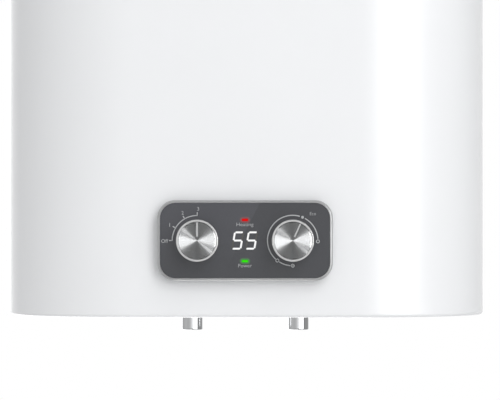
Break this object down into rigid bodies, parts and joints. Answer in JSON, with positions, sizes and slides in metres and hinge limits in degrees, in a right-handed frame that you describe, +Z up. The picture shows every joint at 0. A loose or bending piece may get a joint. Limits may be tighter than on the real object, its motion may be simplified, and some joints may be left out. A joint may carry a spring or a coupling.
{
  "type": "tank water heater",
  "caption": "Flat wall-hung electric storage water heater with a satin white casing, a dark control panel with a lit display and turning knobs, and pipe stubs below.",
  "frame": {"origin": "centre of the hanger bracket's back face, where it meets the wall", "axes": "+X to the right as seen from the front, +Y back into the wall, +Z up; the control panel faces -Y"},
  "size_m": [0.47, 0.2964, 0.917],
  "materials": {
    "white_enamel": "satin white powder coat",
    "white_plastic": "fine-textured white moulding",
    "foam": "rigid polyurethane foam",
    "stainless": "pickled stainless steel",
    "zinc_steel": "zinc-plated steel",
    "black_rubber": "matte moulded rubber",
    "copper": "nickel-free copper sheath",
    "magnesium": "dull cast magnesium",
    "chrome": "bright chrome plate",
    "blue_plastic": "moulded, blue for cold",
    "red_plastic": "moulded, red for hot",
    "grey_plastic": "moulded",
    "satin_silver": "satin silver plate",
    "smoked_plate": "gloss dark grey panel",
    "spun_metal": "spun, radially reflecting",
    "pointer_white": "glossy white inlay",
    "circuit_board": "green solder mask",
    "black_plastic": "moulded",
    "red_lamp": "clear red light guide",
    "green_lamp": "clear green light guide"
  },
  "bodies": {
    "heater": {"control_housing": "grey_plastic", "panel_bezel": "satin_silver", "panel_plate": "smoked_plate", "display_board": "circuit_board", "display_module": "black_plastic", "heating_lamp": "red_lamp", "power_lamp": "green_lamp", "power_switch_body": "black_plastic", "temperature_dial_body": "black_plastic", "jacket": "white_enamel", "top_cap": "white_plastic", "bottom_cap": "white_plastic", "insulation_foam": "foam", "left_access_cover": "white_plastic", "left_access_screw": "zinc_steel", "left_tank": "stainless", "left_flange_plate": "stainless", "left_flange_gasket": "black_rubber", "left_ring_nut": "zinc_steel", "left_heating_element": "copper", "left_anode": "magnesium", "left_sensor_pocket": "stainless", "left_heater_lead": "red_plastic", "left_relay": "black_plastic", "right_access_cover": "white_plastic", "right_access_screw": "zinc_steel", "right_tank": "stainless", "right_flange_plate": "stainless", "right_flange_gasket": "black_rubber", "right_ring_nut": "zinc_steel", "right_heating_element": "copper", "right_anode": "magnesium", "right_sensor_pocket": "stainless", "right_heater_lead": "red_plastic", "right_relay": "black_plastic", "cold_inlet_nipple": "chrome", "hot_outlet_nipple": "chrome", "inlet_diffuser": "grey_plastic", "hot_pickup_tube": "stainless", "transfer_pipe": "stainless", "cold_collar": "blue_plastic", "hot_collar": "red_plastic", "cable_grommet": "black_rubber", "main_board": "circuit_board", "terminal_block": "black_plastic", "thermal_cutout": "black_plastic", "display_cable": "grey_plastic", "hanger_bracket": "zinc_steel", "lower_spacer": "zinc_steel", "bracket_bolt_1": "zinc_steel", "bracket_bolt_2": "zinc_steel"},
    "power_knob_body": {"power_knob_shaft": "zinc_steel", "power_knob": "chrome", "power_knob_face": "spun_metal", "power_knob_pointer": "pointer_white"},
    "temperature_knob_body": {"temperature_knob_shaft": "zinc_steel", "temperature_knob": "chrome", "temperature_knob_face": "spun_metal", "temperature_knob_pointer": "pointer_white"},
    "reset_button_body": {"reset_button": "red_plastic"}
  },
  "joints": [
    {"name": "power_knob_turn", "type": "hinge", "parent": "heater", "child": "power_knob_body", "pos_m": [-0.0456, -0.2879, -0.676], "axis": [0, 1, 0], "range_deg": [-90, 0]},
    {"name": "temperature_knob_turn", "type": "hinge", "parent": "heater", "child": "temperature_knob_body", "pos_m": [0.0456, -0.2879, -0.676], "axis": [0, 1, 0], "range_deg": [-204, 68]},
    {"name": "reset_button_press", "type": "slide", "parent": "heater", "child": "reset_button_body", "axis": [0, 0, 1], "range_m": [0, 0.0015], "stiffness_N_per_m": 400}
  ]
}
